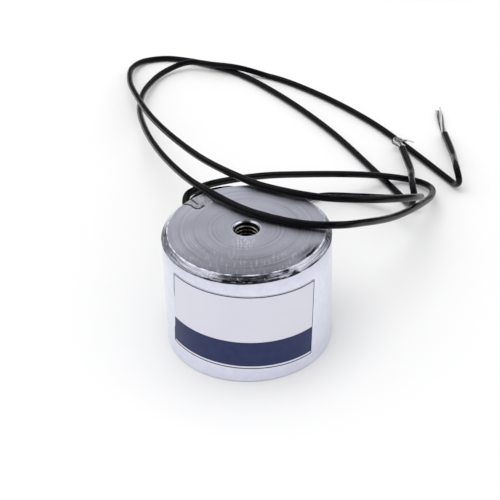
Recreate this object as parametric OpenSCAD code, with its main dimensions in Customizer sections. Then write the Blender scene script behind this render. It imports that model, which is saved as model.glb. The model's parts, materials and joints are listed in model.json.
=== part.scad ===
// Holding electromagnet: a turned pot with its coil potted inside, and two bare-ended leads.
// Origin: centre of the holding face. +Z runs up the axis to the back face, the label faces -Y.

/* [Pot] */
// Outer diameter of the pot
body_d = 20; // [19:0.5:26]
// Height from the holding face to the back face
body_h = 15; // [14:0.5:20]
// Thickness of the side wall, which is the outer pole
wall_t = 1.6; // [1.2:0.1:2]
// Thickness of the back plate
back_t = 3; // [2.5:0.1:3.5]
// Diameter of the centre pole
core_d = 8; // [7:0.5:9]
// Bevel round the back face
back_bevel = 0.7; // [0.4:0.05:1]
// Radius that breaks both edges of the bevel
bevel_break_r = 0.15; // [0.05:0.05:0.3]
// Chamfer round the holding face
pole_chamfer = 0.15; // [0.05:0.05:0.6]

/* [Tapped hole] */
// Nominal diameter of the thread
thread_d = 3; // [2.6:0.1:4]
// Depth of the full thread below the back face
thread_depth = 6; // [4:0.5:8]
// Diameter of the tap drill
tap_d = 2.5; // [2:0.1:2.5]
// Straight run of the tap drill past the thread
tap_run = 1.2; // [0.5:0.1:2]
// Width of the countersink beyond the thread, each side
mouth_chamfer = 0.15; // [0.1:0.05:0.4]

/* [Lead slot] */
// Direction of the slot, counted from +X
slot_az = 131; // [120:1:140]
// Width of the slot
slot_w = 2.4; // [2.2:0.1:3]
// Length of the slot from the rim inwards
slot_len = 3.4; // [3.2:0.1:4]
// Depth of the slot from the back face
slot_depth = 4.2; // [3.8:0.1:4.8]

/* [Coil] */
// Thickness of the bobbin's barrel
barrel_t = 0.6; // [0.4:0.1:0.8]
// Thickness of each bobbin flange
flange_t = 0.7; // [0.5:0.1:1]
// Room between the wound copper and the edge of the flanges
winding_short = 0.9; // [0.7:0.1:1.2]
// Thickness of the tape round the winding
tape_t = 0.15; // [0.1:0.05:0.2]
// Angle over which the end of the tape laps its start
tape_lap = 40; // [20:5:60]
// Thickness of the resin ring at the holding face
potting_t = 1.4; // [1:0.1:2]
// How far the resin ring lies below the holding face
potting_sink = 0.15; // [0.05:0.05:0.3]
// Height of the wiring space between the bobbin and the back plate
wiring_h = 1.8; // [1.7:0.1:2.2]

/* [Leads] */
// Diameter over a lead's insulation
lead_d = 0.9; // [0.7:0.05:0.95]
// Distance between the leads in the slot
lead_pitch = 1; // [1:0.05:1.1]
// Diameter of the bare twisted strands
strand_d = 0.54; // [0.3:0.02:0.6]
// Diameter of the coil's own wire ends
tail_d = 0.2; // [0.15:0.05:0.3]
// Length of each soldered joint
joint_len = 1.8; // [1.4:0.1:2]
// Diameter of each soldered joint
joint_d = 0.64; // [0.5:0.02:0.7]
// Wall of the sleeve over each joint
sleeve_t = 0.18; // [0.12:0.02:0.24]
// How far a sleeve reaches past each end of its joint
sleeve_lap = 0.5; // [0.3:0.1:0.7]
// Length of a lead's jacket between its joint and its bend
jacket_lap = 1.2; // [0.8:0.1:1.4]
// Radius of a lead's bend from its joint into the slot
lead_bend_r = 1.6; // [1.2:0.1:1.7]
// How far below the back face the leads leave the rim
exit_drop = 2; // [1.6:0.1:2.2]

/* [Label] */
// Width of the label, measured straight across
label_w = 16.1; // [10:0.1:16.4]
// Height of the label
label_h = 10.4; // [8:0.2:11]
// Height of the label's middle above the holding face
label_z = 7.3; // [6.5:0.1:8]
// Shift of the label's middle towards +X
label_shift = -0.7; // [-1:0.1:1]
// Slant at which the label is stuck on
label_tilt = 2.5; // [0:0.5:3]
// Thickness of the label
label_t = 0.08; // [0.05:0.01:0.15]

/* [Hidden] */

// Facets of the rounds, overlap of a cut past its face, the point angle of a drill, a bevel's slant
$fn = 96;
cut = 1;
drill_angle = 118;
bevel_angle = 45;

// Clearances: coil on the pole, resin in steel, parts laid on each other, lead in its sleeve
bobbin_gap = 0.15;
resin_gap = 0.02;
seat_gap = 0.03;
sleeve_gap = 0.06;

// Pot, measured as radii and heights
body_r = body_d / 2;
core_r = core_d / 2;
chamber_r = body_r - wall_t;
chamber_top = body_h - back_t;
thread_r = thread_d / 2;
mouth_r = thread_r + mouth_chamfer;
slot_end_r = body_r - slot_len;

// Coil
barrel_in_r = core_r + bobbin_gap;
barrel_r = barrel_in_r + barrel_t;
flange_r = chamber_r - bobbin_gap;
winding_r = flange_r - winding_short;
tape_r = winding_r + seat_gap + tape_t;
bobbin_z = potting_t + seat_gap;
flange_top = chamber_top - wiring_h;
winding_z = bobbin_z + flange_t + seat_gap;
winding_top = flange_top - flange_t - seat_gap;
tape_margin = 0.2;

// Wire-outs in the back flange: width, angle from the slot, and how far the wire lies in the coil
wire_out_w = 0.7;
wire_out_turn = 72;
wire_inset = 0.25;
start_az = slot_az + wire_out_turn;
finish_az = slot_az - wire_out_turn;
start_r = barrel_r + wire_inset;
finish_r = winding_r - wire_inset;

// Joints: sleeved, lying on the back flange and bent round the pole half way to the wall
sleeve_in_r = lead_d / 2 + sleeve_gap;
sleeve_r = sleeve_in_r + sleeve_t;
joint_r = (core_r + chamber_r) / 2;
joint_z = flange_top + seat_gap + sleeve_r;

// Angles from the slot: where a lead's bend starts, its jacket ends, and its joint ends
bend_aside = lead_pitch / 2 + lead_bend_r;
bend_out = sqrt(pow(joint_r + lead_bend_r, 2) - pow(bend_aside, 2));
bend_turn = atan2(bend_aside, bend_out);
jacket_turn = bend_turn + joint_turn(jacket_lap);
joint_from = jacket_turn + joint_turn(seat_gap);
joint_to = joint_from + joint_turn(joint_len);
sleeve_from = jacket_turn - joint_turn(sleeve_lap);
sleeve_to = joint_to + joint_turn(sleeve_lap);

// Heights of a lead: out of the slot, on the table, on the back face, and over another lead
exit_z = body_h - exit_drop;
table_z = lead_d / 2 + seat_gap;
back_z = body_h + lead_d / 2 + seat_gap;
hop_z = table_z + lead_d + seat_gap;
lead_sides = 8;
// Points of each lead's route that run through the slot and just past it
slot_points = 8;

// A length along the joints' circle, as an angle
function joint_turn(length) = length / joint_r * 180 / PI;

// A point at a radius and a direction, and one seen from the slot: outwards, aside and up
function polar_point(r, az, z) = [r * cos(az), r * sin(az), z];
function slot_point(out, aside, z) = [
    out * cos(slot_az) - aside * sin(slot_az),
    out * sin(slot_az) + aside * cos(slot_az),
    z
];

// A point on the joints' circle, on one side of the slot
function joint_point(side, turn) = polar_point(joint_r, slot_az + side * turn, joint_z);

// The end of a route, and a point a little further the same way
function carried_on(route) =
    let (end = route[len(route) - 1])
    [end, end + bare_straight * along(route, len(route) - 1)];

// A lead's start: along the joints' circle, round a rising bend into the slot and out of the rim
function lead_start(side) =
    let (
        half_way = lead_bend_r * unit([-cos(bend_turn), -1 - sin(bend_turn)]),
        rise = exit_z - joint_z
    ) [
        joint_point(side, jacket_turn),
        joint_point(side, bend_turn),
        slot_point(bend_out + half_way[0], side * (bend_aside + half_way[1]), joint_z + rise / 10),
        slot_point(bend_out, side * lead_pitch / 2, joint_z + rise / 3),
        slot_point(body_r, side * lead_pitch / 2, exit_z)
    ];

// Lead 1: down behind the pot, a turn on the right, over the back face, a wide loop, a hairpin
lead_1_route = concat(lead_start(1), [
    [-7.3, 8.3, 13.3],
    [-7.1, 9.7, 13.6],
    [-6.3, 10.7, 13.6],
    [-4.3, 12.8, 13.1],
    [2.1, 19.2, 10],
    [8.1, 24, 7],
    [14.6, 28.5, 3.9],
    [18.7, 30.9, 2],
    [21.9, 31.8, 0.9],
    [24.4, 31, 0.7],
    [25.7, 28.5, 1.3],
    [25.2, 23.9, 3],
    [22.5, 17.3, 5.8],
    [18.2, 9.2, 9.6],
    [14.2, 3, 13.2],
    [10.7, -0.7, back_z],
    [7, -0.3, back_z],
    [2.8, 1.4, back_z],
    [-0.6, 3.6, back_z],
    [-5.3, 8.4, back_z],
    [-7.4, 13, 14.2],
    [-11, 24.5, 10.8],
    [-13.9, 38, 6.8],
    [-15.4, 50.6, 3.4],
    [-14.7, 60.5, 1.3],
    [-12.1, 66, 0.9],
    [-8.4, 67.8, hop_z],
    [-4.5, 66.8, hop_z],
    [-0.4, 65.4, hop_z],
    [4.4, 63.9, table_z],
    [10.8, 58.6, table_z],
    [19.2, 48.5, table_z],
    [28.3, 32.4, table_z],
    [29.3, 30.4, 0.6],
    [29.6, 29.5, 1.1],
    [29.7, 29, 1.8],
    [29.6, 29, 2.6],
    [29.4, 29.8, 3.4],
    [29.8, 36, 1.9],
    [29.8, 44.3, table_z]
]);

// Lead 2: lower behind the pot, a larger turn, over the rim, a loop outside lead 1, a hairpin
lead_2_route = concat(lead_start(-1), [
    [-6.6, 8.9, 12.7],
    [-6.4, 10.4, 12.4],
    [-5.5, 11.8, 12.2],
    [-2.2, 14.4, 11.2],
    [0.5, 16.6, 9.2],
    [3.4, 20.6, 5],
    [7, 26.2, 1.5],
    [11.2, 28.6, table_z],
    [15.4, 27.2, 1.1],
    [19.6, 23.8, 2.9],
    [22.1, 18.9, 6.1],
    [22.6, 16, 8],
    [21.3, 12.3, 10.4],
    [18, 8, 13.1],
    [14.5, 5.2, 15],
    [9, 5.3, back_z],
    [2.1, 8.3, back_z],
    [-0.7, 10.5, back_z],
    [-4.9, 17.3, 13.8],
    [-9.2, 27.7, 11],
    [-13, 39.8, 7.6],
    [-15.5, 50, 5],
    [-17.4, 60.1, 2.6],
    [-17.4, 67, 1.2],
    [-15.7, 70.3, 0.6],
    [-12.3, 71.2, table_z],
    [-8.5, 70.2, table_z],
    [-4.6, 68.2, table_z],
    [-0.1, 64.8, table_z],
    [6, 57.4, table_z],
    [13, 46.2, table_z],
    [18.6, 34.4, table_z],
    [21.5, 27.9, table_z],
    [22.3, 25.8, 0.7],
    [22.7, 24.5, 1.6],
    [22.9, 24.4, 2.7],
    [22.8, 25.4, 3.5],
    [23, 28.6, 3],
    [23.3, 32, 2.1],
    [22.9, 39.1, 1.5]
]);

// The bare strands carry on from each lead's end: one bundle straight, one bent aside
bare_straight = 0.8;
lead_1_bare = concat(carried_on(lead_1_route), [[29.7, 48.3, 0.4], [29.8, 51.8, 0.3]]);
lead_2_bare = concat(carried_on(lead_2_route), [[22.5, 40.8, 1.4], [23.1, 41.2, 1.4], [24.4, 40.6, 1.3]]);

// The coil's wire ends: from the back of each joint, along the flange and down to the winding
function tail_route(side, r, az) = [
    joint_point(side, joint_to + joint_turn(seat_gap)),
    joint_point(side, sleeve_to),
    polar_point((joint_r + r) / 2, az - side * wire_out_turn / 8, (joint_z + flange_top) / 2 + tail_d),
    polar_point(r, az, flange_top + tail_d),
    polar_point(r, az, winding_top + seat_gap)
];

// Swept tube: the way along at each point, a side direction carried on from the last, and the rings
function unit(v) = v / norm(v);
function along(route, i) = unit(route[min(i + 1, len(route) - 1)] - route[max(i - 1, 0)]);
function square_to(v, way) = unit(v - (v * way) * way);
function side_ways(route, i = 0, last = [0, 0, 1]) =
    i == len(route) ? [] :
    let (side = square_to(last, along(route, i)))
    concat([side], side_ways(route, i + 1, side));
function ring(centre, side, way, r) = [
    for (k = [0 : lead_sides - 1])
        let (turn = 360 * k / lead_sides)
        centre + r * (cos(turn) * side + sin(turn) * cross(way, side))
];

module tube(route, r) {
    sides = side_ways(route);
    last = len(route) - 1;
    rings = [for (i = [0 : last]) each ring(route[i], sides[i], along(route, i), r)];
    ends = [
        [for (k = [0 : lead_sides - 1]) k],
        [for (k = [lead_sides - 1 : -1 : 0]) last * lead_sides + k]
    ];
    walls = [
        for (i = [0 : last - 1], k = [0 : lead_sides - 1])
            let (a = i * lead_sides + k, b = i * lead_sides + (k + 1) % lead_sides)
            each [[a, a + lead_sides, b], [b, a + lead_sides, b + lead_sides]]
    ];
    polyhedron(points = rings, faces = concat(ends, walls));
}

// Half section of the pot: a cup with a pole in the middle and a bevelled back edge
module pot_section() {
    // How far the broken edges reach into the pot's faces, and along each axis into the bevel
    run_in = bevel_break_r * tan(bevel_angle / 2);
    slant_in = run_in * cos(bevel_angle);
    difference() {
        union() {
            polygon([
                [0, 0],
                [body_r - pole_chamfer, 0],
                [body_r, pole_chamfer],
                [body_r, body_h - back_bevel - run_in],
                [body_r - slant_in, body_h - back_bevel + slant_in],
                [body_r - back_bevel + slant_in, body_h - slant_in],
                [body_r - back_bevel - run_in, body_h],
                [0, body_h]
            ]);
            translate([body_r - bevel_break_r, body_h - back_bevel - run_in])
                circle(r = bevel_break_r);
            translate([body_r - back_bevel - run_in, body_h - bevel_break_r])
                circle(r = bevel_break_r);
        }
        translate([core_r, -cut])
            square([chamber_r - core_r, chamber_top + cut]);
    }
}

// Slot with a round inner end, drawn smaller by inset for what fills it
module slot_space(inset) {
    rotate([0, 0, slot_az])
        translate([slot_end_r + slot_w / 2, 0, body_h - slot_depth + inset]) {
            cylinder(r = slot_w / 2 - inset, h = slot_depth + cut);
            translate([0, inset - slot_w / 2, 0])
                cube([slot_len + cut, slot_w - 2 * inset, slot_depth + cut]);
        }
}

// Hole tapped from the back face: thread wall, countersink, tap drill and its point
module tapped_hole() {
    tap_r = tap_d / 2;
    point_h = tap_r / tan(drill_angle / 2);
    thread_z = body_h - thread_depth;
    translate([0, 0, thread_z])
        cylinder(r = thread_r, h = thread_depth + cut);
    translate([0, 0, body_h - mouth_chamfer])
        cylinder(r1 = thread_r, r2 = mouth_r + cut, h = mouth_chamfer + cut);
    translate([0, 0, thread_z - tap_run])
        cylinder(r = tap_r, h = tap_run + cut);
    translate([0, 0, thread_z - tap_run - point_h])
        cylinder(r1 = 0, r2 = tap_r, h = point_h);
}

module pot_core() {
    color([0.80, 0.81, 0.85])
    difference() {
        rotate_extrude() pot_section();
        tapped_hole();
        slot_space(0);
    }
}

// Cut through the back flange, from a radius out past its edge
module wire_out(az, from_r) {
    rotate([0, 0, az])
        translate([from_r, -wire_out_w / 2, flange_top - flange_t - seat_gap])
            cube([flange_r, wire_out_w, flange_t + cut]);
}

module bobbin() {
    color([0.92, 0.90, 0.82])
    difference() {
        rotate_extrude() {
            translate([barrel_in_r, bobbin_z])
                square([barrel_t, flange_top - bobbin_z]);
            for (z = [bobbin_z, flange_top - flange_t])
                translate([barrel_in_r, z])
                    square([flange_r - barrel_in_r, flange_t]);
        }
        wire_out(start_az, barrel_r);
        wire_out(finish_az, finish_r - wire_inset);
    }
}

module winding() {
    color([0.72, 0.40, 0.22])
    rotate_extrude()
        translate([barrel_r + seat_gap, winding_z])
            square([winding_r - barrel_r - seat_gap, winding_top - winding_z]);
}

// One wrap of tape, with its end lapped over its start
module winding_tape() {
    tape_z = winding_z + tape_margin;
    tape_h = winding_top - winding_z - 2 * tape_margin;
    color([0.85, 0.66, 0.22]) {
        rotate_extrude()
            translate([winding_r + seat_gap, tape_z])
                square([tape_t, tape_h]);
        rotate_extrude(angle = tape_lap)
            translate([tape_r - tape_t / 2, tape_z])
                square([1.5 * tape_t, tape_h]);
    }
}

module start_tail() {
    color([0.75, 0.42, 0.22]) tube(tail_route(1, start_r, start_az), tail_d / 2);
}

module finish_tail() {
    color([0.75, 0.42, 0.22]) tube(tail_route(-1, finish_r, finish_az), tail_d / 2);
}

// A round section bent along the joints' circle, between two angles on one side of the slot
module joint_arc(side, from, to) {
    translate([0, 0, joint_z])
        rotate([0, 0, slot_az + (side > 0 ? from : -to)])
            rotate_extrude(angle = to - from)
                translate([joint_r, 0])
                    children();
}

// Solder from the lead's end to the coil's wire end
module solder_joint(side) {
    color([0.66, 0.67, 0.70])
    joint_arc(side, joint_from, joint_to)
        circle(d = joint_d);
}

module solder_joint_1() {
    solder_joint(1);
}

module solder_joint_2() {
    solder_joint(-1);
}

// Insulating sleeve that laps the lead on one side of the joint and the wire end on the other
module joint_sleeve(side) {
    color([0.90, 0.84, 0.60])
    joint_arc(side, sleeve_from, sleeve_to)
        difference() {
            circle(r = sleeve_r);
            circle(r = sleeve_in_r);
        }
}

module joint_sleeve_1() {
    joint_sleeve(1);
}

module joint_sleeve_2() {
    joint_sleeve(-1);
}

module potting_ring() {
    color([0.10, 0.10, 0.11])
    rotate_extrude()
        translate([core_r + resin_gap, potting_sink])
            square([chamber_r - core_r - 2 * resin_gap, potting_t - potting_sink]);
}

// Resin cast in the slot, level with the pot's own faces, round both leads
module slot_resin() {
    color([0.62, 0.62, 0.66])
    difference() {
        intersection() {
            slot_space(resin_gap);
            rotate_extrude() pot_section();
        }
        for (route = [lead_1_route, lead_2_route])
            tube([for (i = [0 : slot_points - 1]) route[i]], lead_d / 2 + resin_gap);
    }
}

module lead_1() {
    color([0.09, 0.09, 0.10]) tube(lead_1_route, lead_d / 2);
}

module lead_2() {
    color([0.09, 0.09, 0.10]) tube(lead_2_route, lead_d / 2);
}

module lead_1_strands() {
    color([0.78, 0.78, 0.80]) tube(lead_1_bare, strand_d / 2);
}

module lead_2_strands() {
    color([0.78, 0.78, 0.80]) tube(lead_2_bare, strand_d / 2);
}

// Foil bent round the front of the pot
module label() {
    color([0.88, 0.88, 0.93])
    intersection() {
        difference() {
            cylinder(r = body_r + label_t, h = body_h);
            translate([0, 0, -cut])
                cylinder(r = body_r, h = body_h + 2 * cut);
        }
        translate([label_shift, -body_r, label_z])
            rotate([0, label_tilt, 0])
                translate([-label_w / 2, -cut, -label_h / 2])
                    cube([label_w, body_r + cut, label_h]);
    }
}

pot_core();
bobbin();
winding();
winding_tape();
start_tail();
finish_tail();
solder_joint_1();
solder_joint_2();
joint_sleeve_1();
joint_sleeve_2();
potting_ring();
slot_resin();
lead_1();
lead_2();
lead_1_strands();
lead_2_strands();
label();
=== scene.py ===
"""Looks of the holding electromagnet: camera, leads, thread, resin, label print, materials and studio."""

import json
import math
from functools import reduce

import bpy
import numpy as np
from mathutils import Matrix, Vector, noise


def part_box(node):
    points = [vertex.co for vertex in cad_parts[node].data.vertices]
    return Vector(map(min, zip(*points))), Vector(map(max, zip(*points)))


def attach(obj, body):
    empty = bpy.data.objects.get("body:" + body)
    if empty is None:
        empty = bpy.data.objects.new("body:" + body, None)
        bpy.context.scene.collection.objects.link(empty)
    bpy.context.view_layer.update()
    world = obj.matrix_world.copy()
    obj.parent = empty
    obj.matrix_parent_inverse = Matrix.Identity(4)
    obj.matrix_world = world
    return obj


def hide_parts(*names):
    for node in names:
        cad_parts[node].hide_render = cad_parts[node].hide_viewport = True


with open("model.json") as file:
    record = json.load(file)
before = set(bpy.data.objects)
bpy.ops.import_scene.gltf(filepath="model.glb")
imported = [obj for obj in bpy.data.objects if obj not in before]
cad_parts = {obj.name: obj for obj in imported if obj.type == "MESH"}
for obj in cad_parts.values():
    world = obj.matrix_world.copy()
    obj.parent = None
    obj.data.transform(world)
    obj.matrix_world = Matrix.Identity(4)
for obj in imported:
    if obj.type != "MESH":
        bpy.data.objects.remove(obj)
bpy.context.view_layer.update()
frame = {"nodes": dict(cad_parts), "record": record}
nodes = frame["nodes"]

# Sizes in metres, read from the frame where it has them
MM = 0.001
BODY_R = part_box("pot_core")[1].x
BODY_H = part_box("pot_core")[1].z
LABEL_R = -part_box("label")[0].y
THREAD = next(m for m in frame["record"]["mounts"] if m["name"] == "back_thread")
THREAD_R = THREAD["dims"]["r_mm"] * MM
THREAD_LEN = THREAD["dims"]["length_mm"] * MM
BEVEL = 0.7 * MM

# Camera, as fitted to the photographed rim and base: place, turns, lens, sensor, and how near it sees
CAMERA_PLACE = Vector((0, -0.1368912, 0.1085261))
CAMERA_YAW = 0.0024
CAMERA_PITCH = 0.6148
CAMERA_ROLL = -0.0334
CAMERA_LENS_MM = 102.29
SENSOR_MM = 36
CAMERA_NEAR = 0.01


def make_camera():
    """Pinhole camera that looks down on the part, level but for a slight roll."""
    ahead = Vector((
        math.sin(CAMERA_YAW) * math.cos(CAMERA_PITCH),
        math.cos(CAMERA_YAW) * math.cos(CAMERA_PITCH),
        -math.sin(CAMERA_PITCH),
    ))
    right = ahead.cross(Vector((0, 0, 1))).normalized()
    up = right.cross(ahead)
    rolled_right = math.cos(CAMERA_ROLL) * right + math.sin(CAMERA_ROLL) * up
    rolled_up = math.cos(CAMERA_ROLL) * up - math.sin(CAMERA_ROLL) * right
    data = bpy.data.cameras.new("camera")
    data.sensor_width = SENSOR_MM
    data.lens = CAMERA_LENS_MM
    data.clip_start = CAMERA_NEAR
    camera = bpy.data.objects.new("camera", data)
    turn = Matrix((rolled_right, rolled_up, -ahead)).transposed().to_4x4()
    camera.matrix_world = Matrix.Translation(CAMERA_PLACE) @ turn
    bpy.context.scene.collection.objects.link(camera)
    bpy.context.scene.camera = camera


def metres(points):
    """Points of a table in millimetres, brought into metres."""
    return [tuple(value / 1000 for value in point) for point in points]


# Leads: diameter, and bore that the strands sit in
LEAD_D = 0.0009
LEAD_BORE_D = 0.00070
# Heights of their middle in millimetres, on the table, the back face and a lead
TABLE_Z = 0.48
BACK_Z = 15.48
HOP_Z = 1.41
# The slot's direction, and each lead's way through it: outwards, aside and up
SLOT_AZ = math.radians(131)
SLOT_WAY = metres([
    (5.54, 2.79, 10.9),
    (5.97, 1.67, 10.9),
    (6.54, 0.83, 11.1),
    (7.51, 0.5, 11.6),
    (10.0, 0.5, 13.0),
])
# Lead 1: down behind the pot, a turn on the right, over the back face, a wide loop, a hairpin
LEAD_1_ROUTE = metres([
    (-7.3, 8.3, 13.3),
    (-7.1, 9.7, 13.6),
    (-6.3, 10.7, 13.6),
    (-4.3, 12.8, 13.1),
    (2.1, 19.2, 10.0),
    (8.1, 24.0, 7.0),
    (14.6, 28.5, 3.9),
    (18.7, 30.9, 2.0),
    (21.9, 31.8, 0.9),
    (24.4, 31.0, 0.7),
    (25.7, 28.5, 1.3),
    (25.2, 23.9, 3.0),
    (22.5, 17.3, 5.8),
    (18.2, 9.2, 9.6),
    (14.2, 3.0, 13.2),
    (10.7, -0.7, BACK_Z),
    (7.0, -0.3, BACK_Z),
    (2.8, 1.4, BACK_Z),
    (-0.6, 3.6, BACK_Z),
    (-5.3, 8.4, BACK_Z),
    (-7.4, 13.0, 14.2),
    (-11.0, 24.5, 10.8),
    (-13.9, 38.0, 6.8),
    (-15.4, 50.6, 3.4),
    (-14.7, 60.5, 1.3),
    (-12.1, 66.0, 0.9),
    (-8.4, 67.8, HOP_Z),
    (-4.5, 66.8, HOP_Z),
    (-0.4, 65.4, HOP_Z),
    (4.4, 63.9, TABLE_Z),
    (10.8, 58.6, TABLE_Z),
    (19.2, 48.5, TABLE_Z),
    (28.3, 32.4, TABLE_Z),
    (29.3, 30.4, 0.6),
    (29.6, 29.5, 1.1),
    (29.7, 29.0, 1.8),
    (29.6, 29.0, 2.6),
    (29.4, 29.8, 3.4),
    (29.8, 36.0, 1.9),
    (29.8, 44.3, TABLE_Z),
])
# Lead 2: lower behind the pot, a larger turn, over the rim, a loop outside lead 1, a hairpin
LEAD_2_ROUTE = metres([
    (-6.6, 8.9, 12.7),
    (-6.4, 10.4, 12.4),
    (-5.5, 11.8, 12.2),
    (-2.2, 14.4, 11.2),
    (0.5, 16.6, 9.2),
    (3.4, 20.6, 5.0),
    (7.0, 26.2, 1.5),
    (11.2, 28.6, TABLE_Z),
    (15.4, 27.2, 1.1),
    (19.6, 23.8, 2.9),
    (22.1, 18.9, 6.1),
    (22.6, 16.0, 8.0),
    (21.3, 12.3, 10.4),
    (18.0, 8.0, 13.1),
    (14.5, 5.2, 15.0),
    (9.0, 5.3, BACK_Z),
    (2.1, 8.3, BACK_Z),
    (-0.7, 10.5, BACK_Z),
    (-4.9, 17.3, 13.8),
    (-9.2, 27.7, 11.0),
    (-13.0, 39.8, 7.6),
    (-15.5, 50.0, 5.0),
    (-17.4, 60.1, 2.6),
    (-17.4, 67.0, 1.2),
    (-15.7, 70.3, 0.6),
    (-12.3, 71.2, TABLE_Z),
    (-8.5, 70.2, TABLE_Z),
    (-4.6, 68.2, TABLE_Z),
    (-0.1, 64.8, TABLE_Z),
    (6.0, 57.4, TABLE_Z),
    (13.0, 46.2, TABLE_Z),
    (18.6, 34.4, TABLE_Z),
    (21.5, 27.9, TABLE_Z),
    (22.3, 25.8, 0.7),
    (22.7, 24.5, 1.6),
    (22.9, 24.4, 2.7),
    (22.8, 25.4, 3.5),
    (23.0, 28.6, 3.0),
    (23.3, 32.0, 2.1),
    (22.9, 39.1, 1.5),
])
# Lengths of the insulation, and its mesh: step along a lead, and sides
LEAD_STEP = 0.0002
LEAD_SIDES = 20
# A direction to take the first sideways one from, which lies along no lead or strand
FIRST_SIDE = (0.31, 0.23, 0.92)
# The insulation's radius wanders by a small share: which share, and the noise's scale
WANDER = 0.012
WANDER_SCALE = 900
# It swells at its stripped end: by what share, from how far before the end, and over what length
END_SWELL = 0.14
END_SWELL_RUN = 0.012
END_SWELL_RAMP = 0.006
# A lead's cut end: how deep its bore shows, how much shorter its upper side is, and its rounded rim
CUT_DEEP = 0.0010
CUT_SLANT = 0.0003
CUT_RIM = 0.000027
# Edges that turn by more degrees than this stay sharp
CUT_SHARP = 50
THREAD_SHARP = 40
PRINT_SHARP = 30

# Stripped ends: how far the bare strands run straight on, and where they go then
BARE_STRAIGHT = 0.0008
LEAD_1_BARE = metres([(29.7, 48.3, 0.4), (29.8, 51.8, 0.3)])
LEAD_2_BARE = metres([(22.5, 40.8, 1.4), (23.1, 41.2, 1.4), (24.4, 40.6, 1.3)])
# One strand: its radius, sides and steps
STRAND_R = 0.00011
STRAND_SIDES = 8
STRAND_STEP = 0.00008
# The bundle: radius and length of its twist, share of that radius at its root, and length in the bore
STRAND_LAY_R = 0.00030
STRAND_TWIST = 0.016
ROOT_SPREAD = 0.4
STRANDS_INSIDE = 0.0006
# How far each strand's tip stands off the bundle: one in the middle, six round it
LEAD_1_FRAY = metres([
    (-0.14, -0.4, 0.0),
    (-0.2, -0.5, 0.0),
    (-0.3, -0.4, 0.0),
    (-0.1, -0.6, 0.0),
    (0.22, 0.4, 0.1),
    (0.3, 0.2, 0.0),
    (-0.16, -0.3, 0.1),
])
LEAD_2_FRAY = metres([
    (0.4, 0.0, 0.1),
    (-0.6, 0.4, 0.2),
    (-1.2, 0.3, 0.3),
    (-1.4, -0.4, 0.3),
    (-1.0, 0.5, 0.1),
    (-1.3, -0.1, 0.6),
    (-0.9, -0.5, 0.0),
])


def smooth_path(points, step, lowest):
    """Points along a centripetal Catmull-Rom curve, about a step apart and never below a height."""
    p = [np.array(q, float) for q in points]
    p = [2 * p[0] - p[1], *p, 2 * p[-1] - p[-2]]
    path = []
    for a, b, c, d in zip(p, p[1:], p[2:], p[3:]):
        t0 = 0.0
        t1 = t0 + math.sqrt(np.linalg.norm(b - a))
        t2 = t1 + math.sqrt(np.linalg.norm(c - b))
        t3 = t2 + math.sqrt(np.linalg.norm(d - c))
        count = max(2, round(np.linalg.norm(c - b) / step))
        for t in np.linspace(t1, t2, count, endpoint=False):
            ab = a + (b - a) * (t - t0) / (t1 - t0)
            bc = b + (c - b) * (t - t1) / (t2 - t1)
            cd = c + (d - c) * (t - t2) / (t3 - t2)
            abc = ab + (bc - ab) * (t - t0) / (t2 - t0)
            bcd = bc + (cd - bc) * (t - t1) / (t3 - t1)
            path.append(abc + (bcd - abc) * (t - t1) / (t2 - t1))
    path.append(p[-2])
    path = np.array(path)
    path[:, 2] = np.maximum(path[:, 2], lowest)
    return path


def run_of(path):
    """Distance along a path at each of its points."""
    return np.concatenate([[0.0], np.cumsum(np.linalg.norm(np.diff(path, axis=0), axis=1))])


def ways_along(path):
    """At each point of a path, the way along it and two sideways directions that don't twist."""
    along = np.gradient(path, axis=0)
    along /= np.linalg.norm(along, axis=1)[:, None]
    side = np.zeros_like(path)
    last = np.array(FIRST_SIDE)
    for i, way in enumerate(along):
        last = last - (last @ way) * way
        last /= np.linalg.norm(last)
        side[i] = last
    return along, side, np.cross(along, side)


def rings_along(path, radii, sides):
    """Rings of points round a path."""
    _, side, other = ways_along(path)
    turns = np.linspace(0, 2 * math.pi, sides, endpoint=False)
    spokes = np.cos(turns)[None, :, None] * side[:, None] + np.sin(turns)[None, :, None] * other[:, None]
    return path[:, None] + np.broadcast_to(radii, len(path))[:, None, None] * spokes


def joined(rings):
    """Corners and faces of the tube through some rings, closed at both ends."""
    count, sides, _ = rings.shape
    faces = []
    for i in range(count - 1):
        a, b = i * sides, (i + 1) * sides
        for k in range(sides):
            n = (k + 1) % sides
            faces.append((a + k, a + n, b + n, b + k))
    end = (count - 1) * sides
    faces.append(tuple(range(sides - 1, -1, -1)))
    faces.append(tuple(range(end, end + sides)))
    return rings.reshape(-1, 3), faces


def merged(shells):
    """Corners and faces of several shells as one mesh."""
    corners, faces = [], []
    for more_corners, more_faces in shells:
        faces += [tuple(len(corners) + i for i in face) for face in more_faces]
        corners.extend(more_corners)
    return corners, faces


def new_object(name, corners, faces, material):
    """A mesh of one material, in the scene."""
    mesh = bpy.data.meshes.new(name)
    mesh.from_pydata([tuple(c) for c in corners], [], faces)
    mesh.materials.append(material)
    thing = bpy.data.objects.new(name, mesh)
    bpy.context.scene.collection.objects.link(thing)
    return thing


def add_mesh(name, corners, faces, material, slot):
    """A smooth mesh piece that rides on the part."""
    piece = new_object(name, corners, faces, material)
    piece.data.validate()
    piece.data.shade_smooth()
    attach(piece, "root")
    return piece


def crease(piece, degrees):
    """Keep the edges that turn more than an angle sharp."""
    piece.data.set_sharp_from_angle(angle=math.radians(degrees))


def slot_point(out, aside, up):
    """A point seen from the slot: outwards, aside and up."""
    return (
        out * math.cos(SLOT_AZ) - aside * math.sin(SLOT_AZ),
        out * math.sin(SLOT_AZ) + aside * math.cos(SLOT_AZ),
        up,
    )


def lead_path(side, route):
    """A lead's whole centreline, from its joint in the pot to its cut end."""
    start = [slot_point(out, side * aside, up) for out, aside, up in SLOT_WAY]
    return smooth_path(start + route, LEAD_STEP, TABLE_Z * MM)


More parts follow.
